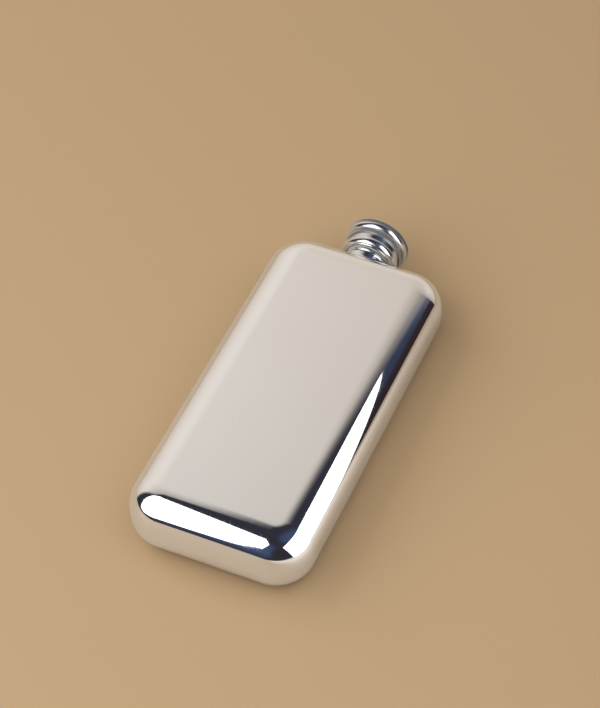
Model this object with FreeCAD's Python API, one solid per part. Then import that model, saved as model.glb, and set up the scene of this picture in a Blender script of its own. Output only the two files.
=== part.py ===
import FreeCAD, Part
import math
import os

# Hip flask of polished pewter with a screw cap, lying on its back.
#
# Frame, in millimetres: the origin is the centre of the flat back face.
# +X is the width, +Y runs along the flask towards the cap, +Z goes from the
# back face to the front face.
#
# The neck and cap are drawn in a frame of their own, in which Z is the
# height above the body's top edge along the neck axis. to_neck() moves
# them to their place.

Vector = FreeCAD.Vector

# Body
body_length = 124.0
body_width = 58.2
body_thickness = 21.4
corner_radius = 12.4          # in plan
edge_radius = 9.4             # of the rounded rim, front and back
wall = 1.0

# Solder
seam_depth = 0.45             # how far the bead stands inside the wall
seam_height = 2.2
seam_chamfer = 0.3
collar_solder_radius = 7.4
collar_solder_depth = 0.8

# Neck
neck_offset = -1.4            # the neck sits this far from the centre line
tube_bore_radius = 4.8
tube_radius = 5.7
tube_bottom = -4.5
tube_rim = 8.35
rim_chamfer = 0.3
collar_top = 2.0
collar_top_radius = 7.45
collar_edge = 0.2
collar_lip_height = 1.5
collar_neck_radius = 6.9      # just under the lip
collar_neck_height = 0.85
collar_foot_radius = 6.35
collar_taper_height = -1.5
collar_foot_height = -3.6

# Thread, one start, right-handed
lead = 2.0
thread_base_width = 1.0
thread_crest_width = 0.5
thread_root_overlap = 0.15
thread_start = 3.3            # the cap's ridge starts half a turn from the tube's
male_crest_radius = 6.35
male_turns = 2.1
female_crest_radius = 5.95
female_root_radius = 6.55
female_turns = 2.15

# Cap, each ring by its largest radius
cap_bottom = 2.6
cap_edge_radius = 8.1
bead_radius = 9.5
bead_round = 1.65
bead_low, bead_high = 4.4, 4.75
bead_shoulder = 0.35
waist_radius = 8.35
waist_low, waist_high = 5.9, 7.25
waist_taper = 0.3
band_radius = 9.3
band_low, band_high = 7.8, 9.2
band_round = 0.3
band_chamfer = 0.1
rim_radius = 10.4
rim_round = 1.6
rim_low, rim_high = 10.9, 12.05
rim_flare = 0.2
cap_edge_round = 0.4
cap_crown = 12.6
cap_bore_radius = 7.5
cap_roof = 9.65

# Milling, on the band and on the rim
tooth_count = 96
tooth_depth = 0.22
tooth_land = 0.1              # of half a pitch, at the outer edge of the cutter
tooth_margin = 0.05
band_teeth = (7.65, 9.25)
rim_teeth = (11.0, 12.15)

# Threaded insert and sealing disc inside the cap
insert_bottom = 2.7
insert_top = 8.3
insert_chamfer = 0.35
seal_bottom = 8.4
seal_top = 9.6
seal_radius = 7.2


def save(node, shape):
    """Write one sub-part to its own file."""
    if not shape.isValid():
        raise ValueError(node + " is not valid")
    shape.exportStep(os.path.join("parts", node + ".step"))
    print(node, len(shape.Solids), round(shape.Volume, 1))


def clean(shape):
    """Merge split faces, and give back the bare solid when there is only one."""
    shape = shape.removeSplitter()
    return shape.Solids[0] if len(shape.Solids) == 1 else shape


# ---- body ---------------------------------------------------------------

def rounded_prism(inset, low, high):
    """An upright block with the body's plan outline, moved in by inset."""
    half_x = body_width / 2 - inset
    half_y = body_length / 2 - inset
    block = Part.makeBox(
        2 * half_x, 2 * half_y, high - low, Vector(-half_x, -half_y, low)
    )
    upright = [e for e in block.Edges if e.BoundBox.ZLength > (high - low) / 2]
    return block.makeFillet(corner_radius - inset, upright)


def rounded_block(inset):
    """The body's outside moved in by inset, with its rims rounded all round."""
    low, high = inset, body_thickness - inset
    block = rounded_prism(inset, low, high)
    rims = [e for e in block.Edges if e.BoundBox.ZLength < 0.001]
    return block.makeFillet(edge_radius - inset, rims)


def half_space(front):
    """A box that holds everything on one side of the seam."""
    low = body_thickness / 2 if front else -body_thickness
    high = 2 * body_thickness if front else body_thickness / 2
    size = 2 * body_length
    return Part.makeBox(size, size, high - low, Vector(-size / 2, -size / 2, low))


def shell(front):
    """One pressed half of the body, with its half of the neck hole."""
    hollow = rounded_block(0).cut(rounded_block(wall))
    half = hollow.common(half_space(front))
    hole = to_neck(Part.makeCylinder(tube_radius, 20, Vector(0, 0, -10)))
    return clean(half.cut(hole))


def seam_solder():
    """The bead of solder that runs inside the seam, broken at the neck."""
    middle = body_thickness / 2
    low, high = middle - seam_height / 2, middle + seam_height / 2
    inner = rounded_prism(wall + seam_depth, low, high)
    bead = rounded_prism(wall, low, high).cut(inner)
    reach = inner.BoundBox.XMax + 0.001
    inside = [
        e for e in bead.Edges
        if e.BoundBox.ZLength < 0.001 and e.BoundBox.XMax < reach
        and e.BoundBox.YMax < inner.BoundBox.YMax + 0.001
        and e.BoundBox.XMin > -reach
        and e.BoundBox.YMin > inner.BoundBox.YMin - 0.001
    ]
    bead = bead.makeChamfer(seam_chamfer, inside)
    gap = Part.makeCylinder(collar_solder_radius, 20, Vector(0, 0, -10))
    return clean(bead.cut(to_neck(gap)))


# ---- neck ---------------------------------------------------------------

def to_neck(shape):
    """Turn the neck frame's Z to +Y and put it on the top edge of the body."""
    moved = shape.copy()
    moved.rotate(Vector(0, 0, 0), Vector(1, 0, 0), -90)
    moved.translate(Vector(neck_offset, body_length / 2, body_thickness / 2))
    return moved


def point(radius, height):
    return Vector(radius, 0, height)


def line(a, b):
    return Part.LineSegment(point(*a), point(*b)).toShape()


def arc(a, b, c):
    return Part.Arc(point(*a), point(*b), point(*c)).toShape()


def turned(edges):
    """Revolve a closed outline of (radius, height) points about the neck axis."""
    face = Part.Face(Part.Wire(edges))
    return face.revolve(Vector(0, 0, 0), Vector(0, 0, 1), 360)


def polygon(points):
    return [line(a, b) for a, b in zip(points, points[1:] + points[:1])]


def dome(edge, crown):
    """An arc from an edge point to the axis, square to the axis at its top."""
    radius, height = edge
    rise = crown - height
    ball = (radius ** 2 + rise ** 2) / (2 * rise)
    middle = radius / 2
    return arc(edge, (middle, crown - ball + math.sqrt(ball ** 2 - middle ** 2)), (0.0, crown))


def helical_ridge(root, crest, start, turns, angle):
    """A thread ridge of trapezoid section, standing from root to crest."""
    path = Part.makeHelix(lead, lead * turns, root)
    base, tip = thread_base_width / 2, thread_crest_width / 2
    section = Part.Wire(polygon([(root, -base), (crest, -tip), (crest, tip), (root, base)]))
    ridge = Part.Wire(path).makePipeShell([section], True, True)
    ridge.rotate(Vector(0, 0, 0), Vector(0, 0, 1), angle)
    ridge.translate(Vector(0, 0, start))
    return ridge


def neck_tube():
    """The threaded mouth: a tube through the collar and into the body."""
    barrel = turned(polygon([
        (tube_bore_radius, tube_bottom),
        (tube_radius, tube_bottom),
        (tube_radius, tube_rim - rim_chamfer),
        (tube_radius - rim_chamfer, tube_rim),
        (tube_bore_radius, tube_rim),
    ]))
    ridge = helical_ridge(
        tube_radius - thread_root_overlap, male_crest_radius, thread_start, male_turns, 0
    )
    return to_neck(clean(barrel.fuse(ridge)))


def neck_collar():
    """The cast collar: a lip over a neck that narrows towards the shoulder."""
    lip = (collar_top_radius, collar_lip_height)
    neck = (collar_neck_radius, collar_neck_height)
    collar = turned([
        line((tube_radius, collar_foot_height), (tube_radius, collar_top)),
        line((tube_radius, collar_top), (collar_top_radius - collar_edge, collar_top)),
        line(
            (collar_top_radius - collar_edge, collar_top),
            (collar_top_radius, collar_top - collar_edge),
        ),
        line((collar_top_radius, collar_top - collar_edge), lip),
        arc(lip, (collar_neck_radius + 0.2, collar_lip_height - 0.22), neck),
        line(neck, (collar_foot_radius, collar_taper_height)),
        line(
            (collar_foot_radius, collar_taper_height),
            (collar_foot_radius, collar_foot_height),
        ),
        line((collar_foot_radius, collar_foot_height), (tube_radius, collar_foot_height)),
    ])
    return clean(to_neck(collar).cut(rounded_block(0)))


def collar_solder():
    """The ring of solder inside the body, between the tube and the shells."""
    ring = Part.makeCylinder(collar_solder_radius, 12, Vector(0, 0, -8))
    ring = ring.cut(Part.makeCylinder(tube_radius, 12, Vector(0, 0, -8)))
    skin = rounded_block(wall).cut(rounded_block(wall + collar_solder_depth))
    return clean(to_neck(ring).common(skin))


# ---- cap ----------------------------------------------------------------

def swing(radius, height, rounding, start, end):
    """A round whose outermost point is given, between two slopes in degrees."""
    points = []
    for slope in (start, (start + end) / 2, end):
        turn = math.radians(slope)
        points.append((
            radius - rounding * (1 - math.cos(turn)),
            height + rounding * math.sin(turn),
        ))
    return points


def joined(steps):
    """Lines and arcs from a list of points (lines) and of point triples (arcs)."""
    edges = []
    here = None
    for step in steps:
        start = step[0] if len(step) == 3 else step
        if here and math.dist(here, start) > 1e-6:
            edges.append(line(here, start))
        if len(step) == 3:
            edges.append(arc(*step))
        here = step[-1] if len(step) == 3 else step
    return edges


def milling(radius, low, high):
    """What the milling takes off: a ring less a star-shaped prism."""
    half_pitch = math.pi / tooth_count
    land = half_pitch * tooth_land
    points = []
    for tooth in range(tooth_count):
        middle = 2 * half_pitch * tooth
        for reach, turn in (
            (radius + tooth_margin, -land),
            (radius + tooth_margin, land),
            (radius - tooth_depth, half_pitch),
        ):
            angle = middle + turn
            points.append(Vector(reach * math.cos(angle), reach * math.sin(angle), low))
    outline = Part.makePolygon(points + points[:1])
    star = Part.Face(outline).extrude(Vector(0, 0, high - low))
    return Part.makeCylinder(radius + 1, high - low, Vector(0, 0, low)).cut(star)


def cap_shell():
    """The cast cap: a bead, a waist, a milled band and a round rim with a milled edge."""
    bead_foot = swing(bead_radius, bead_low, bead_round, -80, 0)
    bead_top = swing(bead_radius, bead_high, bead_shoulder, 0, 65)
    waist_foot = (waist_radius, waist_low)
    waist_top = (waist_radius + waist_taper, waist_high)
    under_band = (band_radius - 0.45, waist_high + 0.25)
    band_foot = swing(band_radius, band_low, band_round, -75, 0)
    rim_foot = swing(rim_radius, rim_low, rim_round, -80, 0)
    rim_top = swing(rim_radius + rim_flare, rim_high, cap_edge_round, 0, 75)
    outline = joined([
        (0.0, cap_roof),
        (cap_bore_radius, cap_roof),
        (cap_bore_radius, cap_bottom),
        (cap_edge_radius, cap_bottom),
        bead_foot,
        bead_top,
        [bead_top[2], (waist_radius + 0.3, waist_low - 0.5), waist_foot],
        [waist_top, (waist_top[0] + 0.05, waist_high + 0.18), under_band],
        band_foot,
        (band_radius, band_high),
        (band_radius - 0.06, band_high + band_chamfer),
        rim_foot,
        rim_top,
    ])
    outline += [dome(rim_top[2], cap_crown), line((0.0, cap_crown), (0.0, cap_roof))]
    blank = turned(outline)
    blank = blank.cut(milling(band_radius, *band_teeth))
    blank = blank.cut(milling(rim_radius + rim_flare, *rim_teeth))
    return to_neck(clean(blank))


def cap_insert():
    """The threaded sleeve fixed in the cap's bore."""
    sleeve = turned(polygon([
        (female_root_radius + insert_chamfer, insert_bottom),
        (cap_bore_radius, insert_bottom),
        (cap_bore_radius, insert_top),
        (female_root_radius, insert_top),
        (female_root_radius, insert_bottom + insert_chamfer),
    ]))
    ridge = helical_ridge(
        female_root_radius + thread_root_overlap,
        female_crest_radius,
        thread_start,
        female_turns,
        180,
    )
    return to_neck(clean(sleeve.fuse(ridge)))


def seal_disc():
    """The soft disc that the tube's rim presses on."""
    disc = Part.makeCylinder(seal_radius, seal_top - seal_bottom, Vector(0, 0, seal_bottom))
    return to_neck(disc)


os.makedirs("parts", exist_ok=True)
save("front_shell", shell(True))
save("back_shell", shell(False))
save("seam_solder", seam_solder())
save("neck_collar", neck_collar())
save("neck_tube", neck_tube())
save("collar_solder", collar_solder())
save("cap_shell", cap_shell())
save("cap_insert", cap_insert())
save("seal_disc", seal_disc())
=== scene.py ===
import math

import bmesh
import bpy
import numpy as np
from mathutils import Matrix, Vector


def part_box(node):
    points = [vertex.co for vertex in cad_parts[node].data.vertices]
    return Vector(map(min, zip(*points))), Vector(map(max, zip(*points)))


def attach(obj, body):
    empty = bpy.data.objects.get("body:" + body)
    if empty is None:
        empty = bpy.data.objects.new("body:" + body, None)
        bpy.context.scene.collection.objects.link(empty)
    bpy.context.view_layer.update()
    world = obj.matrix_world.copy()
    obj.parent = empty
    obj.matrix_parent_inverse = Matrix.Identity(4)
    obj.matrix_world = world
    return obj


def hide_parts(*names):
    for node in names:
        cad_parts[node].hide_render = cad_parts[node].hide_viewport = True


# Polished pewter hip flask with a milled screw cap, lying on its back.
# Metres, in the frame's axes: X is the width, Y runs to the cap, Z is up.

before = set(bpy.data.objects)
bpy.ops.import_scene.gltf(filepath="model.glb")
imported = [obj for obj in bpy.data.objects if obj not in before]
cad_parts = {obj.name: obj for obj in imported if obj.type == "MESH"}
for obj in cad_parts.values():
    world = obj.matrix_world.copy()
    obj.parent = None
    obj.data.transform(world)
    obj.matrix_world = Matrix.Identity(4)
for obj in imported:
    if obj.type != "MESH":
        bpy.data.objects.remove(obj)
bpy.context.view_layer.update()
mm = 0.001

# Added to lengths that are divided by, which may be nothing.
tiny = 1e-12

# ---- sizes, from the frame -------------------------------------------------

back_low, back_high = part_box("back_shell")
front_low, front_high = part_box("front_shell")
half_x = front_high.x
half_y = front_high.y
half_z = (front_high.z - back_low.z) / 2
middle_z = (front_high.z + back_low.z) / 2
collar_low, collar_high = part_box("neck_collar")
seal_low, seal_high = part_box("seal_disc")
neck_x = (collar_low.x + collar_high.x) / 2
neck_y = half_y

# Sizes of the design that no box shows.
corner_radius = 12.4 * mm
wall = 1.0 * mm
tube_radius = 5.7 * mm

# The rim is a superellipse, so that it runs into the face and the side
# without a sudden change of curvature. The face has a very slight crown.
rim_power = 2.45
rim_reach = half_z
crown = 0.10 * mm


# ---- mesh helpers ----------------------------------------------------------

def new_object(name, vertices, faces):
    """A linked mesh object from plain lists."""
    mesh = bpy.data.meshes.new(name)
    mesh.from_pydata([tuple(v) for v in vertices], [], faces)
    mesh.update()
    piece = bpy.data.objects.new(name, mesh)
    bpy.context.scene.collection.objects.link(piece)
    return piece


def outward(piece):
    """Make a closed mesh's faces all point outwards."""
    work = bmesh.new()
    work.from_mesh(piece.data)
    bmesh.ops.recalc_face_normals(work, faces=work.faces)
    work.to_mesh(piece.data)
    work.free()


def smooth(piece):
    """Shade all of a piece's faces smooth."""
    piece.data.polygons.foreach_set("use_smooth", [True] * len(piece.data.polygons))


def apply_modifiers(piece):
    """Replace the piece's mesh with its evaluated one."""
    graph = bpy.context.evaluated_depsgraph_get()
    mesh = bpy.data.meshes.new_from_object(piece.evaluated_get(graph))
    mesh.name = piece.name
    piece.modifiers.clear()
    piece.data = mesh


def finish_piece(piece, body, replaced, finish):
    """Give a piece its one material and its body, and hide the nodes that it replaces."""
    piece.data.materials.clear()
    piece.data.materials.append(finish)
    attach(piece, body)
    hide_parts(*replaced)


# ---- body shells -----------------------------------------------------------

# Steps across and along the face's grid, round a corner, and from the seam up to the face.
side_x, side_y, corner_steps, rim_steps = 44, 128, 26, 40


def outline_frame():
    """For every point of the outline: its arc centre, its way out and its place on the grid."""
    cx, cy = half_x - corner_radius, half_y - corner_radius
    corners = ((1, 1), (-1, 1), (-1, -1), (1, -1))
    base, way, grid = [], [], []
    for k, (sx, sy) in enumerate(corners):
        nx, ny = corners[(k + 1) % 4]
        here = (side_x if sx > 0 else 0, side_y if sy > 0 else 0)
        there = (side_x if nx > 0 else 0, side_y if ny > 0 else 0)
        for i in range(corner_steps + 1):
            angle = (k + i / corner_steps) * math.pi / 2
            base.append((sx * cx, sy * cy))
            way.append((math.cos(angle), math.sin(angle)))
            grid.append(here)
        steps = side_y if k % 2 else side_x
        angle = (k + 1) * math.pi / 2
        for i in range(1, steps):
            t = i / steps
            base.append((cx * (sx + t * (nx - sx)), cy * (sy + t * (ny - sy))))
            way.append((math.cos(angle), math.sin(angle)))
            grid.append(tuple(round(p + t * (q - p)) for p, q in zip(here, there)))
    return np.array(base), np.array(way), grid


def rim_curve():
    """Evenly spaced points of the unit superellipse, from the seam to the face."""
    fine_steps = 4000
    t = np.linspace(0, math.pi / 2, fine_steps + 1)
    across = np.cos(t) ** (2 / rim_power)
    high = np.sin(t) ** (2 / rim_power)
    run = np.concatenate([[0], np.cumsum(np.hypot(np.diff(across), np.diff(high)))])
    even = np.linspace(0, run[-1], rim_steps + 1)
    return np.interp(even, run, across), np.interp(even, run, high)


def half_height(x, y, inset):
    """Half the thickness over the flat of the face, with its slight crown."""
    return half_z - inset - crown * ((x / half_x) ** 2 + (y / half_y) ** 2)


def inset_of(x, y):
    """Distance in from the outline, and its gradient."""
    qx = np.abs(x) - (half_x - corner_radius)
    qy = np.abs(y) - (half_y - corner_radius)
    corner = (qx > 0) & (qy > 0)
    reach = np.hypot(np.maximum(qx, 0), np.maximum(qy, 0)) + tiny
    distance = corner_radius - np.where(corner, reach, np.maximum(qx, qy))
    gx = np.where(corner, qx / reach, (qx > qy) * 1.0) * -np.sign(x)
    gy = np.where(corner, qy / reach, (qx <= qy) * 1.0) * -np.sign(y)
    return distance, gx, gy


def surface(points, inset):
    """Value of the implicit surface at points, and its unit normal out of the body."""
    x, y, z = points[:, 0], points[:, 1], points[:, 2] - middle_z
    distance, gx, gy = inset_of(x, y)
    reach = rim_reach - inset
    across = np.maximum(0, reach + inset - distance) / reach
    tall = half_height(x, y, inset)
    high = np.abs(z) / tall
    steep = rim_power * across ** (rim_power - 1) / reach
    lean = rim_power * high ** rim_power / tall
    normal = np.stack([
        -steep * gx + lean * 2 * crown * x / half_x ** 2,
        -steep * gy + lean * 2 * crown * y / half_y ** 2,
        rim_power * high ** (rim_power - 1) / tall * np.sign(z),
    ], 1)
    length = np.linalg.norm(normal, axis=1, keepdims=True)
    value = across ** rim_power + high ** rim_power - 1
    return value / length[:, 0], normal / length


def shell_skin(inset, side):
    """One skin of a shell: rings from the seam up over the rim, and the face grid."""
    base, way, grid = outline_frame()
    across, high = rim_curve()
    reach = rim_reach - inset
    flat_radius = corner_radius - rim_reach
    rings = [(out * reach + flat_radius, share) for out, share in zip(across, high)]
    rings.append((flat_radius / 2, 1.0))
    vertices, faces = [], []
    for out, share in rings:
        xy = base + way * out
        z = middle_z + side * share * half_height(xy[:, 0], xy[:, 1], inset)
        vertices += list(np.column_stack([xy, z]))
    count = len(base)
    for j in range(len(rings) - 1):
        for i in range(count):
            k = (i + 1) % count
            faces.append((j * count + i, j * count + k, (j + 1) * count + k, (j + 1) * count + i))
    start = len(vertices)
    xs = np.linspace(-1, 1, side_x + 1) * (half_x - corner_radius)
    ys = np.linspace(-1, 1, side_y + 1) * (half_y - corner_radius)
    for x in xs:
        for y in ys:
            vertices.append((x, y, middle_z + side * half_height(x, y, inset)))

    def place(ix, iy):
        return start + ix * (side_y + 1) + iy

    last = (len(rings) - 1) * count
    for i in range(count):
        k = (i + 1) % count
        a, b = place(*grid[i]), place(*grid[k])
        if a == b:
            faces.append((last + i, last + k, a))
        else:
            faces.append((last + i, last + k, b, a))
    for ix in range(side_x):
        for iy in range(side_y):
            near, far = place(ix, iy), place(ix + 1, iy)
            faces.append((near, far, far + 1, near + 1))
    return vertices, faces, count


def cylinder(name, radius, low, high):
    """A plain closed cylinder on the neck axis, used only to cut the hole."""
    steps = 160
    vertices, faces = [], []
    for y in (low, high):
        for i in range(steps):
            angle = 2 * math.pi * i / steps
            x, z = neck_x + radius * math.cos(angle), middle_z + radius * math.sin(angle)
            vertices.append((x, y, z))
    for i in range(steps):
        k = (i + 1) % steps
        faces.append((i, k, steps + k, steps + i))
    faces.append(tuple(range(steps)))
    faces.append(tuple(range(steps, 2 * steps)))
    cutter = new_object(name, vertices, faces)
    outward(cutter)
    return cutter


def set_shell_normals(piece):
    """Give every corner of a shell the exact normal of the skin that it lies on."""
    skin_margin = 0.2 * mm
    least_agreement = 0.8
    mesh = piece.data
    co = np.array([v.co[:] for v in mesh.vertices])
    middles = np.array([p.center[:] for p in mesh.polygons])
    flat = np.array([p.normal[:] for p in mesh.polygons])
    exact = {}
    kind = np.zeros(len(middles), int)
    for mark, inset, way in ((1, 0.0, 1), (2, wall, -1)):
        value, normal = surface(middles, inset)
        facing = (normal * flat).sum(1) * way > least_agreement
        kind[(np.abs(value) < skin_margin) & facing] = mark
        exact[mark] = surface(co, inset)[1] * way
    loops = []
    for index, polygon in enumerate(mesh.polygons):
        for vertex in polygon.vertices:
            loops.append(exact[kind[index]][vertex] if kind[index] else flat[index])
    smooth(piece)
    mesh.normals_split_custom_set(loops)


def body_shell(name, side, replaced):
    """One half of the body: outer skin, inner skin, the seam's edge and the neck hole."""
    hole_low, hole_high = neck_y - 12 * mm, neck_y + 6 * mm
    outer, outer_faces, count = shell_skin(0.0, side)
    inner, inner_faces, _ = shell_skin(wall, side)
    shift = len(outer)
    faces = list(outer_faces)
    faces += [tuple(shift + v for v in reversed(face)) for face in inner_faces]
    for i in range(count):
        k = (i + 1) % count
        faces.append((k, i, shift + i, shift + k))
    piece = new_object(name, outer + inner, faces)
    outward(piece)
    cutter = cylinder(name + "_cutter", tube_radius, hole_low, hole_high)
    cut = piece.modifiers.new("neck_hole", "BOOLEAN")
    cut.operation = "DIFFERENCE"
    cut.solver = "EXACT"
    cut.object = cutter
    apply_modifiers(piece)
    bpy.data.objects.remove(cutter)
    set_shell_normals(piece)
    finish_piece(piece, "flask", replaced, polished)


# ---- turned pieces ---------------------------------------------------------

def arc(a, b, c):
    """Points of the circular arc from a through b to c, without the first one."""
    steps = 24
    (ax, ay), (bx, by), (cx, cy) = a, b, c
    far_a, far_b, far_c = ax ** 2 + ay ** 2, bx ** 2 + by ** 2, cx ** 2 + cy ** 2
    d = 2 * (ax * (by - cy) + bx * (cy - ay) + cx * (ay - by))
    ux = (far_a * (by - cy) + far_b * (cy - ay) + far_c * (ay - by)) / d
    uy = (far_a * (cx - bx) + far_b * (ax - cx) + far_c * (bx - ax)) / d
    start = math.atan2(ay - uy, ax - ux)
    through = (math.atan2(by - uy, bx - ux) - start) % (2 * math.pi)
    sweep = (math.atan2(cy - uy, cx - ux) - start) % (2 * math.pi)
    if through > sweep:
        sweep -= 2 * math.pi
    radius = math.hypot(ax - ux, ay - uy)
    angles = [start + sweep * i / steps for i in range(1, steps + 1)]
    return [(ux + radius * math.cos(t), uy + radius * math.sin(t)) for t in angles]


def dome(edge, top):
    """Points of the arc from an edge point up to the axis, square to it."""
    radius, height = edge
    rise = top - height
    ball = (radius ** 2 + rise ** 2) / (2 * rise)
    half = radius / 2
    return arc(edge, (half, top - ball + math.sqrt(ball ** 2 - half ** 2)), (0.0, top))


def soften(profile, width, closed):
    """Round a profile's corners as polishing does: resample it, then blur it along its length."""
    pad = 16
    steps_per_width = 4
    tolerance = 0.002
    points = np.array(profile, float)
    if closed:
        points = np.vstack([points, points[:1]])
    run = np.concatenate([[0], np.cumsum(np.hypot(*np.diff(points, axis=0).T))])
    step = width / steps_per_width
    count = int(run[-1] / step)
    even = np.linspace(0, run[-1], count, endpoint=not closed)
    dense = np.column_stack([np.interp(even, run, points[:, i]) for i in (0, 1)])
    kernel = np.exp(-0.5 * (np.arange(-pad, pad + 1) * step / width) ** 2)
    kernel /= kernel.sum()
    if closed:
        wide = np.vstack([dense[-pad:], dense, dense[:pad]])
    else:
        mirror = np.array([-1, 1])
        wide = np.vstack([dense[pad:0:-1] * mirror, dense, dense[-2:-pad - 2:-1] * mirror])
    blurred = np.column_stack([np.convolve(wide[:, i], kernel, "valid") for i in (0, 1)])
    return thin_out(blurred, tolerance, closed)


def thin_out(points, tolerance, closed):
    """Drop the points that a straight run between their neighbours stands for."""
    longest_run = 24
    keep = {0, len(points) - 1}
    stack = [(0, len(points) - 1)]
    if closed:
        half = len(points) // 2
        keep.add(half)
        stack = [(0, half), (half, len(points) - 1)]
    while stack:
        low, high = stack.pop()
        if high - low < 2:
            continue
        a, b = points[low], points[high]
        way = (b - a) / (np.linalg.norm(b - a) + tiny)
        rest = points[low + 1:high] - a
        away = np.abs(rest[:, 0] * way[1] - rest[:, 1] * way[0])
        worst = int(away.argmax())
        if away[worst] > tolerance or high - low > longest_run:
            middle = low + 1 + worst if away[worst] > tolerance else (low + high) // 2
            keep.add(middle)
            stack += [(low, middle), (middle, high)]
    return points[sorted(keep)]


def turned(name, profile, steps, reshape=None):
    """Turn a profile of (radius, height) in millimetres about the neck axis."""
    on_axis = 1e-4
    closed = min(profile[0][0], profile[-1][0]) > on_axis
    angles = np.linspace(0, 2 * math.pi, steps, endpoint=False)
    vertices, rows, shade_and_grime = [], [], []
    for radius, height in profile:
        if radius < on_axis:
            rows.append([len(vertices)] * steps)
            vertices.append((neck_x, neck_y + height * mm, middle_z))
            shade_and_grime.append(0.0)
            continue
        r, h, shade_and_dirt = np.full(steps, radius), np.full(steps, height), np.zeros(steps)
        if reshape:
            r, h, shade_and_dirt = reshape(r, h, angles)
        shade_and_grime += list(shade_and_dirt)
        rows.append(list(range(len(vertices), len(vertices) + steps)))
        x = neck_x + r * np.cos(angles) * mm
        z = middle_z + r * np.sin(angles) * mm
        vertices += list(np.column_stack([x, neck_y + h * mm, z]))
    faces = []
    pairs = list(zip(rows, rows[1:])) + ([(rows[-1], rows[0])] if closed else [])
    for lower, upper in pairs:
        for i in range(steps):
            k = (i + 1) % steps
            corners = [lower[i], lower[k], upper[k], upper[i]]
            faces.append(tuple(dict.fromkeys(corners)))
    piece = new_object(name, vertices, faces)
    # The painted shade with dirt that the reshape lays, kept on the points for the material.
    piece.data.attributes.new("shade_and_grime", "FLOAT", "POINT").data.foreach_set("value", shade_and_grime)
    outward(piece)
    smooth(piece)
    weigh = piece.modifiers.new("weights", "WEIGHTED_NORMAL")
    weigh.keep_sharp = False
    apply_modifiers(piece)
    return piece


# Cap profile, in millimetres of radius and of height above the body's top edge.
cap_bottom, cap_edge = 2.6, 8.1
bead, bead_round, bead_shoulder, bead_height, bead_top = 9.5, 1.65, 0.35, 4.4, 4.75
waist, waist_low, waist_high, waist_taper = 8.35, 5.9, 7.25, 0.3
band, band_round, band_low, band_high = 9.3, 0.3, 7.8, 9.2
band_chamfer_in, band_chamfer_up = 0.06, 0.1
rim, rim_round, rim_low, rim_high, rim_flare = 10.4, 1.6, 10.9, 12.05, 0.2
cap_edge_round, cap_crown = 0.4, 12.6
cap_bore, cap_roof = 7.5, 9.65

# Hollows below and above the waist: how far the middle of each curve lies outwards and away from
# the waist's end, and how far the upper one's own end lies in from the band and up from the waist.
lower_hollow = (0.3, 0.5)
upper_hollow = (0.05, 0.18)
upper_hollow_end = (0.45, 0.25)

# Milling: counts, millimetres, and the land as a share of half a pitch.
tooth_count, tooth_depth, tooth_land, steps_per_tooth = 96, 0.22, 0.25, 10
band_margin, band_fade = 0.3, 0.12
edge_margin, edge_rise, edge_fade = 0.15, 0.1, 0.2

# Painted shade with dirt, darker and duller: its share on the lands and in the corners beside the
# rings, the radius beyond which a place is on the cap's outside, and each corner's largest radius,
# height and width of the painted shade.
land_shade_and_dirt, corner_shade_and_dirt = 0.25, 0.6
cap_outside = cap_bore + 0.3
shaded_dirty_corners = (
    (band, waist_high + 0.3, 0.25),
    (band, band_high + 0.12, 0.12),
    (bead - 0.4, waist_low - 0.4, 0.3),
)


def swing(radius, height, rounding, start, end):
    """Points of a round whose outermost place is given, between two slopes in degrees."""
    points = []
    for step in range(3):
        slope = math.radians(start + (end - start) * step / 2)
        points.append((radius - rounding * (1 - math.cos(slope)), height + rounding * math.sin(slope)))
    return arc(*points)


def cap_profile():
    """The cap's outline, from the roof of its bore round its open end to the top of its crown."""
    flat_top = waist + waist_taper
    points = [(0.0, cap_roof), (cap_bore, cap_roof), (cap_bore, cap_bottom), (cap_edge, cap_bottom)]
    points += swing(bead, bead_height, bead_round, -80, 0)
    points += swing(bead, bead_top, bead_shoulder, 0, 65)
    middle = (waist + lower_hollow[0], waist_low - lower_hollow[1])
    points += arc(points[-1], middle, (waist, waist_low))
    points += [(flat_top, waist_high)]
    middle = (flat_top + upper_hollow[0], waist_high + upper_hollow[1])
    points += arc(points[-1], middle, (band - upper_hollow_end[0], waist_high + upper_hollow_end[1]))
    points += swing(band, band_low, band_round, -75, 0)
    points += [(band, band_high), (band - band_chamfer_in, band_high + band_chamfer_up)]
    points += swing(rim, rim_low, rim_round, -80, 0)
    points += [(rim + rim_flare * k / 3, rim_low + (rim_high - rim_low) * k / 3) for k in (1, 2)]
    points += swing(rim + rim_flare, rim_high, cap_edge_round, 0, 75)
    points += dome(points[-1], cap_crown)
    return points


def between(value, low, high, fade):
    """1 between the two limits, falling to 0 over the fade outside them."""
    return np.clip((value - low) / fade + 1, 0, 1) * np.clip((high - value) / fade + 1, 0, 1)


def mill(r, h, angles):
    """Cut the teeth of the band and the edge, and lay painted shade with dirt between them and beside
    the rings.
    """
    saw = np.abs((angles * tooth_count / math.pi) % 2 - 1)
    valley = np.clip((saw - tooth_land) / (1 - tooth_land), 0, 1)
    on_band = (r > band - band_margin) * between(h, band_low, band_high, band_fade)
    on_edge = (r > rim - edge_margin) * between(h, rim_low + edge_rise, rim_high, edge_fade)
    milled = on_band + on_edge
    corner = np.zeros(len(r))
    for outermost, height, width in shaded_dirty_corners:
        corner += (r > cap_outside) * (r < outermost) * np.exp(-((h - height) / width) ** 2)
    shade_and_dirt = milled * (land_shade_and_dirt + (1 - land_shade_and_dirt) * valley) + corner_shade_and_dirt * corner
    return r - tooth_depth * milled * valley, h, np.clip(shade_and_dirt, 0, 1)


# Collar profile, in the same terms.
collar_top, collar_out, collar_edge = 2.0, 7.45, 0.2
lip_height = 1.5
lip_hollow = (0.2, 0.22)
neck_out, neck_height = 6.9, 0.85
foot_out, taper_height, foot_height = 6.35, -1.5, -3.6
taper_steps = 8
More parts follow.
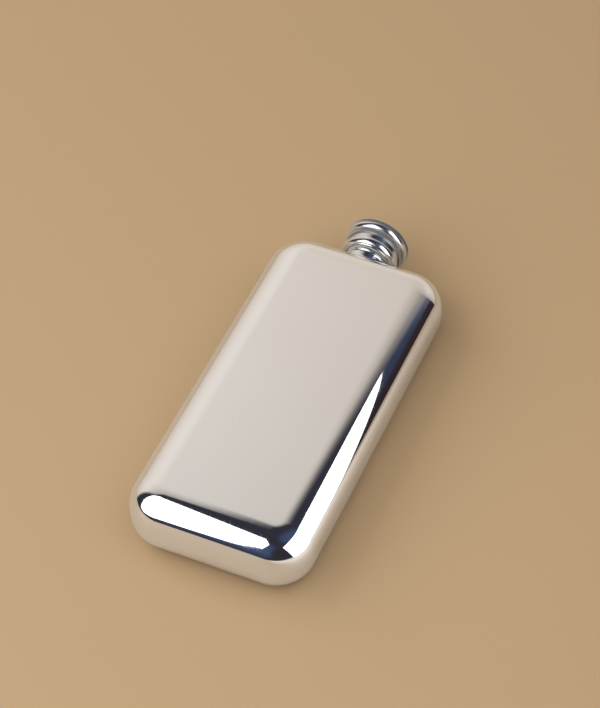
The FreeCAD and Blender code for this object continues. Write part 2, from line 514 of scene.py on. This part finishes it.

# Where the collar lands: how far it goes under the shoulder, its fillet, and the painted shade with
# dirt beside it.
bury = 0.15
fillet_size, fillet_fade = 0.3, 0.22
landing_shade_and_dirt, landing_fade = 0.5, 0.15
bore_margin = 0.05


def collar_profile():
    """The collar's outline, up its bore, over its lip and down to its foot."""
    points = [(tube_radius / mm, foot_height), (tube_radius / mm, collar_top)]
    points += [(collar_out - collar_edge, collar_top), (collar_out, collar_top - collar_edge)]
    points += [(collar_out, lip_height)]
    middle = (neck_out + lip_hollow[0], lip_height - lip_hollow[1])
    points += arc(points[-1], middle, (neck_out, neck_height))
    for k in range(1, taper_steps + 1):
        share = k / taper_steps
        radius = neck_out + (foot_out - neck_out) * share
        points.append((radius, neck_height - (neck_height - taper_height) * share))
    points += [(foot_out, foot_height)]
    return points


def sit_on_shoulder(r, h, angles):
    """Stop the collar just under the shoulder, with a small fillet and painted shade with dirt where
    it lands.
    """
    highest_share = 0.999
    z = np.abs(r * np.sin(angles)) * mm
    high = np.minimum(z / half_z, highest_share)
    shoulder = (rim_reach * ((1 - high ** rim_power) ** (1 / rim_power)) - rim_reach) / mm
    above = np.maximum(h - shoulder, 0)
    outside = r > tube_radius / mm + bore_margin
    flare = np.where(outside, fillet_size * np.exp(-above / fillet_fade), 0)
    shade_and_dirt = landing_shade_and_dirt * np.exp(-above / landing_fade) * outside
    return r + flare, np.maximum(h, shoulder - bury), shade_and_dirt


def seal_profile():
    """The sealing disc, with the ring that the tube's rim has pressed into it."""
    low = (seal_low.y - neck_y) / mm
    high = (seal_high.y - neck_y) / mm
    out = (seal_high.x - seal_low.x) / 2 / mm
    ring_in, ring_out, ring_slope, ring_depth = 4.8, 5.65, 0.25, 0.12
    return [
        (0.0, low), (ring_in - ring_slope, low), (ring_in, low + ring_depth),
        (ring_out, low + ring_depth), (ring_out + ring_slope, low),
        (out, low), (out, high), (0.0, high),
    ]


# ---- materials -------------------------------------------------------------

def material(name):
    """A new material: itself, its nodes, its links and its shader."""
    made = bpy.data.materials.new(name)
    made.use_nodes = True
    nodes, links = made.node_tree.nodes, made.node_tree.links
    return made, nodes, links, nodes["Principled BSDF"]


def noise(nodes, links, scale, detail, source):
    """A cloudy pattern over the places that the source gives."""
    made = nodes.new("ShaderNodeTexNoise")
    made.inputs["Scale"].default_value = scale
    made.inputs["Detail"].default_value = detail
    links.new(source, made.inputs["Vector"])
    return made


def spread(nodes, links, source, low, high):
    """A value from 0 to 1, stretched to run from low to high."""
    made = nodes.new("ShaderNodeMapRange")
    made.inputs["To Min"].default_value = low
    made.inputs["To Max"].default_value = high
    links.new(source, made.inputs["Value"])
    return made.outputs["Result"]


def number_node(nodes, links, operation, first, second):
    """Two values, each a number or a socket, joined by an operation."""
    made = nodes.new("ShaderNodeMath")
    made.operation = operation
    for socket, value in zip(made.inputs, (first, second)):
        if isinstance(value, (int, float)):
            socket.default_value = value
        else:
            links.new(value, socket)
    return made.outputs[0]


def smooth_step(nodes, links, value, low, high):
    """0 where the value is low and 1 where it is high, with a soft step between."""
    made = nodes.new("ShaderNodeMapRange")
    made.interpolation_type = "SMOOTHSTEP"
    made.inputs["From Min"].default_value = low
    made.inputs["From Max"].default_value = high
    links.new(value, made.inputs["Value"])
    return made.outputs["Result"]


def blend_colour(nodes, links, share, first, second):
    """The first colour where the share is 0 and the second where it is 1."""
    made = nodes.new("ShaderNodeMix")
    made.data_type = "RGBA"
    links.new(share, made.inputs["Factor"])
    for socket, value in (("A", first), ("B", second)):
        target = [i for i in made.inputs if i.name == socket and i.type == "RGBA"][0]
        if isinstance(value, tuple):
            target.default_value = (*value, 1)
        else:
            links.new(value, target)
    return [o for o in made.outputs if o.type == "RGBA"][0]


def scratches(nodes, links, place, turn, wide, long):
    """Fine hairlines, near-parallel, each fading in and out along its length."""
    fades_in, full = 0.64, 0.74
    lay = nodes.new("ShaderNodeMapping")
    lay.inputs["Rotation"].default_value = (0, 0, math.radians(turn))
    lay.inputs["Scale"].default_value = (1 / wide, 1 / long, 1 / long)
    links.new(place, lay.inputs["Vector"])
    grain = noise(nodes, links, 1.0, 2, lay.outputs["Vector"])
    return smooth_step(nodes, links, grain.outputs["Fac"], fades_in, full)


def bump(nodes, links, shader, height, depth):
    """Let the shader's surface rise and fall by the depth, as the height says."""
    made = nodes.new("ShaderNodeBump")
    made.inputs["Strength"].default_value = 1.0
    made.inputs["Distance"].default_value = depth
    links.new(height, made.inputs["Height"])
    links.new(made.outputs["Normal"], shader.inputs["Normal"])


# Polished metal's marks. Scales are in cycles a metre; a hairline has a turn, a width and a length.
cloud_scale, fine_scale, pit_scale = 45, 700, 90
hairlines = ((14, 0.12 * mm, 9 * mm), (-37, 0.15 * mm, 6 * mm))
pit_edge, pit_heart = 0.022, 0.012
# Painted shade with dirt: its dark colour, and the range of its patchiness.
shade_and_grime_colour, shade_and_grime_low, shade_and_grime_high = (0.20, 0.19, 0.19), 0.6, 1.2
cloud_shade, pit_shade = 0.975, 0.75
hair_dulls, grime_dulls = 0.05, 0.30
fine_relief, relief_depth = 0.3, 0.0006 * mm


def pewter_material(name, colour, rough_low, rough_high):
    """Polished metal: cloudy sheen, hairlines, a few pits, and painted shade with dull dirt where the
    shape says so.
    """
    made, nodes, links, shader = material(name)
    shader.inputs["Metallic"].default_value = 1.0
    place = nodes.new("ShaderNodeTexCoord").outputs["Object"]
    cloud = noise(nodes, links, cloud_scale, 6, place).outputs["Fac"]
    fine = noise(nodes, links, fine_scale, 3, place).outputs["Fac"]
    one, other = (scratches(nodes, links, place, *sizes) for sizes in hairlines)
    hair = number_node(nodes, links, "MAXIMUM", one, other)
    cells = nodes.new("ShaderNodeTexVoronoi")
    cells.inputs["Scale"].default_value = pit_scale
    links.new(place, cells.inputs["Vector"])
    pit = smooth_step(nodes, links, cells.outputs["Distance"], pit_edge, pit_heart)
    shade_and_grime = nodes.new("ShaderNodeAttribute")
    shade_and_grime.attribute_name = "shade_and_grime"
    patches = spread(nodes, links, fine, shade_and_grime_low, shade_and_grime_high)
    shade_and_dirt = number_node(nodes, links, "MULTIPLY", shade_and_grime.outputs["Fac"], patches)

    tone = blend_colour(nodes, links, cloud, tuple(cloud_shade * c for c in colour), colour)
    # Painted shade: darker in the milled teeth, in the corners beside the rings and at the collar's
    # foot.
    tone = blend_colour(nodes, links, shade_and_dirt, tone, shade_and_grime_colour)
    tone = blend_colour(nodes, links, pit, tone, tuple(pit_shade * c for c in colour))
    links.new(tone, shader.inputs["Base Color"])

    rough = spread(nodes, links, cloud, rough_low, rough_high)
    for mark, dulls in ((hair, hair_dulls), (shade_and_dirt, grime_dulls)):
        duller = number_node(nodes, links, "MULTIPLY", mark, dulls)
        rough = number_node(nodes, links, "ADD", rough, duller)
    links.new(rough, shader.inputs["Roughness"])

    marks = number_node(nodes, links, "ADD", hair, pit)
    hollow = number_node(nodes, links, "MULTIPLY", marks, -1.0)
    grain = number_node(nodes, links, "MULTIPLY", fine, fine_relief)
    relief = number_node(nodes, links, "ADD", hollow, grain)
    bump(nodes, links, shader, relief, relief_depth)
    return made


polished = pewter_material("polished_pewter", (0.85, 0.845, 0.84), rough_low=0.03, rough_high=0.07)
cast = pewter_material("cast_pewter", (0.74, 0.74, 0.745), rough_low=0.16, rough_high=0.24)


def lumpy_material(name, low, high, metallic, rough_low, rough_high, grain_scale, depth):
    """A dull stuff that varies a little in colour and sheen, with a fine grain."""
    grains_in_cloud = 6
    made, nodes, links, shader = material(name)
    shader.inputs["Metallic"].default_value = metallic
    place = nodes.new("ShaderNodeTexCoord").outputs["Object"]
    cloud = noise(nodes, links, grain_scale / grains_in_cloud, 5, place).outputs["Fac"]
    grain = noise(nodes, links, grain_scale, 4, place).outputs["Fac"]
    links.new(blend_colour(nodes, links, cloud, low, high), shader.inputs["Base Color"])
    rough = spread(nodes, links, grain, rough_low, rough_high)
    links.new(rough, shader.inputs["Roughness"])
    bump(nodes, links, shader, grain, depth)
    return made


solder = lumpy_material(
    "solder", low=(0.42, 0.42, 0.43), high=(0.66, 0.66, 0.66), metallic=1.0,
    rough_low=0.30, rough_high=0.52, grain_scale=500, depth=0.05 * mm)
tinned = lumpy_material(
    "tinned_tube", low=(0.62, 0.615, 0.60), high=(0.80, 0.79, 0.77), metallic=1.0,
    rough_low=0.16, rough_high=0.28, grain_scale=900, depth=0.006 * mm)
insert_plastic = lumpy_material(
    "insert_plastic", low=(0.76, 0.73, 0.65), high=(0.83, 0.81, 0.75), metallic=0.0,
    rough_low=0.36, rough_high=0.50, grain_scale=1200, depth=0.01 * mm)
seal_plastic = lumpy_material(
    "seal_plastic", low=(0.86, 0.85, 0.81), high=(0.92, 0.91, 0.88), metallic=0.0,
    rough_low=0.50, rough_high=0.62, grain_scale=900, depth=0.015 * mm)


# ---- pieces ----------------------------------------------------------------

body_shell("front_shell_polished", 1, ["front_shell"])
body_shell("back_shell_polished", -1, ["back_shell"])

cap_steps, collar_steps, seal_steps = tooth_count * steps_per_tooth, 256, 128
metal_softness, plastic_softness = 0.07, 0.05

cap_outline = soften(cap_profile(), metal_softness, closed=False)
cap = turned("cap_milled", cap_outline, cap_steps, mill)
finish_piece(cap, "cap", ["cap_shell"], cast)
collar_outline = soften(collar_profile(), metal_softness, closed=True)
collar = turned("collar_cast", collar_outline, collar_steps, sit_on_shoulder)
finish_piece(collar, "flask", ["neck_collar"], cast)
seal_outline = soften(seal_profile(), plastic_softness, closed=False)
seal = turned("seal_pressed", seal_outline, seal_steps)
finish_piece(seal, "seal", ["seal_disc"], seal_plastic)

for node, finish in (
    ("neck_tube", tinned),
    ("cap_insert", insert_plastic),
    ("seam_solder", solder),
    ("collar_solder", solder),
):
    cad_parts[node].data.materials.clear()
    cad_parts[node].data.materials.append(finish)


# ---- stage -----------------------------------------------------------------

def toward(azimuth, elevation, distance=1.0):
    """A point seen from the flask in that direction. Azimuth 0 is -Y and 90 is +X."""
    a, e = math.radians(azimuth), math.radians(elevation)
    return Vector((math.sin(a) * math.cos(e), -math.cos(a) * math.cos(e), math.sin(e))) * distance


def only_in_reflections(piece):
    """Let a panel show in the metal, and leave the camera, the floor and the shadows alone."""
    piece.visible_camera = False
    piece.visible_diffuse = False
    piece.visible_shadow = False
    piece.visible_transmission = False


def glow_material(name):
    """An emission material: its nodes, its links and its emission node."""
    glow = bpy.data.materials.new(name)
    glow.use_nodes = True
    nodes, links = glow.node_tree.nodes, glow.node_tree.links
    nodes.clear()
    emit = nodes.new("ShaderNodeEmission")
    links.new(emit.outputs[0], nodes.new("ShaderNodeOutputMaterial").inputs["Surface"])
    return glow, nodes, links, emit


def rounded(corners, shares):
    """Swap each corner for a curve that starts its share of the way along the panel's sides."""
    steps = 6
    points = []
    for k, share in enumerate(shares):
        before, corner = Vector(corners[k - 1]), Vector(corners[k])
        after = Vector(corners[(k + 1) % len(corners)])
        first, last = corner.lerp(before, share), corner.lerp(after, share)
        for step in range(steps + 1):
            t = step / steps
            points.append(first.lerp(corner, t).lerp(corner.lerp(last, t), t))
    return points


def card(name, corners, shares):
    """A glowing white panel with rounded corners."""
    strength = 2.6
    corners = rounded(corners, shares)
    made = new_object(name, corners, [tuple(range(len(corners)))])
    glow, _, _, emit = glow_material(name)
    emit.inputs["Color"].default_value = (1, 1, 1, 1)
    emit.inputs["Strength"].default_value = strength
    made.data.materials.append(glow)
    only_in_reflections(made)


def soft_light(name, azimuth, elevation, distance, size, power):
    """A large soft white lamp for the floor and the plastics, which doesn't show in the metal."""
    data = bpy.data.lights.new(name, "AREA")
    data.shape = "SQUARE"
    data.size = size
    data.energy = power
    lamp = bpy.data.objects.new(name, data)
    bpy.context.scene.collection.objects.link(lamp)
    lamp.location = toward(azimuth, elevation, distance)
    lamp.rotation_euler = (-lamp.location).to_track_quat("-Z", "Y").to_euler()
    lamp.visible_glossy = False


def srgb(*values):
    """Linear colour from ordinary 0-255 screen values, none of them close to black."""
    return tuple(((v / 255 + 0.055) / 1.055) ** 2.4 for v in values)


def sheet(name, height, roughness):
    """A large plain sheet under the flask: itself, its nodes, its links and its shader."""
    reach = 3.0
    signs = ((-1, -1), (1, -1), (1, 1), (-1, 1))
    made = new_object(name, [(x * reach, y * reach, height) for x, y in signs], [(0, 1, 2, 3)])
    paper, nodes, links, shader = material(name)
    shader.inputs["Roughness"].default_value = roughness
    shader.inputs["Specular IOR Level"].default_value = 0.2
    made.data.materials.append(paper)
    return made, nodes, links, shader


def floor():
    """The floor, and the sheet that the metal sees in its place, painted with sheen and pale light at
    the right front.
    """
    seen, _, _, shader = sheet("floor", 0, 0.8)
    shader.inputs["Base Color"].default_value = (0.392, 0.270, 0.150, 1)
    seen.visible_glossy = False

    mirrored, nodes, links, shader = sheet("floor_in_reflections", 0.05 * mm, 0.6)
    mirrored.visible_camera = False
    mirrored.visible_diffuse = False
    mirrored.visible_shadow = False
    place = nodes.new("ShaderNodeSeparateXYZ")
    links.new(nodes.new("ShaderNodeTexCoord").outputs["Object"], place.inputs[0])
    at_right = smooth_step(nodes, links, place.outputs["X"], 30 * mm, 110 * mm)
    in_front = smooth_step(nodes, links, place.outputs["Y"], 120 * mm, 0)
    painted_light_pool = number_node(nodes, links, "MULTIPLY", at_right, in_front)
    # Painted sheen: greyer and paler than the floor, with a painted pool of light in front at the
    # right, by the right panel.
    tone = blend_colour(nodes, links, painted_light_pool, (0.43, 0.345, 0.25), (0.74, 0.68, 0.62))
    links.new(tone, shader.inputs["Base Color"])


def studio_dome():
    """The studio around the flask, as the metal sees it: a dark room with a pale backdrop behind."""
    radius = 4.0
    work = bmesh.new()
    bmesh.ops.create_uvsphere(work, u_segments=48, v_segments=24, radius=radius)
    mesh = bpy.data.meshes.new("studio")
    work.to_mesh(mesh)
    work.free()
    made = bpy.data.objects.new("studio", mesh)
    bpy.context.scene.collection.objects.link(made)
    glow, nodes, links, emit = glow_material("studio")
    place = nodes.new("ShaderNodeTexCoord").outputs["Object"]

    def along(way):
        """Cosine of the angle between that way and the way to a place on the dome."""
        made = nodes.new("ShaderNodeVectorMath")
        made.operation = "DOT_PRODUCT"
        made.inputs[1].default_value = way / radius
        links.new(place, made.inputs[0])
        return made.outputs["Value"]

    def inside(first, second, softness):
        """1 on the left of the line from the first to the second direction, 0 on its right."""
        way = toward(*first).cross(toward(*second)).normalized()
        half = math.radians(softness) / 2
        return smooth_step(nodes, links, along(way), -half, half)

    # Room: dark navy, bluer beside the left panel and high up at the right, and browner below
    # the camera and low down at the right. Each tone has its direction, and the cosines at
    # which it starts and is full.
    room = srgb(50, 51, 62)
    for way, start, end, colour in (
        (toward(-12, 35), 0.80, 1.0, srgb(68, 82, 116)),
        (toward(33, 30), 0.88, 1.0, srgb(52, 48, 50)),
        (toward(115, 66), 0.90, 1.0, srgb(66, 80, 112)),
        (toward(144, 34), 0.94, 1.0, srgb(54, 62, 86)),
        (toward(128, 2), 0.90, 0.99, srgb(48, 38, 42)),
    ):
        share = smooth_step(nodes, links, along(way), start, end)
        room = blend_colour(nodes, links, share, room, colour)

    # Backdrop: brightest high up, warmer and dimmer low down, and dimmer round its middle.
    rise = smooth_step(nodes, links, along(Vector((0, 0, 1))), -0.2, 0.7)
    paper = blend_colour(nodes, links, rise, srgb(212, 195, 175), srgb(242, 235, 228))
    middle = smooth_step(nodes, links, along(toward(180, 38)), 0.90, 1.0)
    paper = blend_colour(nodes, links, middle, paper, srgb(216, 204, 192))

    # Its shape: a place is inside one of two edges, and inside all of the others. An edge runs
    # from one direction to another and is soft over a width in degrees.
    right_top = inside((176, 53.2), (150, 42), 7)
    left_top = inside((220, 65), (205, 54), 4)
    shape = number_node(nodes, links, "MAXIMUM", right_top, left_top)
    for first, second, softness in (
        ((136, 24), (130, -8), 2),
        ((147, 40), (136, 24), 3),
        ((237, 62), (176, 57), 42),
        ((272, 0), (250, 62), 8),
    ):
        shape = number_node(nodes, links, "MULTIPLY", shape, inside(first, second, softness))
    links.new(blend_colour(nodes, links, shape, room, paper), emit.inputs["Color"])
    made.data.materials.append(glow)
    only_in_reflections(made)


floor()
studio_dome()
card("left_card", [
    (-0.210, -0.140, 0.044), (-0.176, -0.184, 0.033), (-0.068, -0.241, 0.060), (-0.040, -0.233, 0.084),
    (-0.029, -0.191, 0.124), (0.006, -0.144, 0.184), (-0.038, -0.080, 0.205), (-0.095, -0.008, 0.224),
], shares=(0.3, 0.3, 0.3, 0.3, 0.4, 0.08, 0.4, 0.3))
card("right_card", [
    (0.145, -0.112, 0.010), (0.102, 0.023, 0.008), (0.065, 0.098, 0.116), (0.139, -0.162, 0.216),
], shares=(0.08, 0.08, 0.08, 0.08))
soft_light("key", azimuth=-88, elevation=42, distance=1.2, size=1.0, power=7.4)
soft_light("front", azimuth=-25, elevation=36, distance=1.0, size=1.0, power=8.2)
soft_light("fill", azimuth=80, elevation=60, distance=1.5, size=1.4, power=6.6)

world = bpy.data.worlds.new("pale_room")
world.use_nodes = True
sky = world.node_tree.nodes["Background"]
sky.inputs["Color"].default_value = (0.80, 0.76, 0.72, 1)
sky.inputs["Strength"].default_value = 0.55
world.cycles_visibility.glossy = False
bpy.context.scene.world = world
bpy.context.scene.view_settings.view_transform = "Standard"


# ---- camera ----------------------------------------------------------------

camera_azimuth, camera_elevation, camera_distance = 23.156, 48.161, 0.76617
aim = Vector((-9.46 * mm, 28.99 * mm, 0))
camera_data = bpy.data.cameras.new("camera")
camera_data.sensor_width = 36
camera_data.lens = 123.43
camera = bpy.data.objects.new("camera", camera_data)
bpy.context.scene.collection.objects.link(camera)
back = toward(camera_azimuth, camera_elevation)
camera.location = aim + back * camera_distance
camera.rotation_euler = (-back).to_track_quat("-Z", "Y").to_euler()
bpy.context.scene.camera = camera
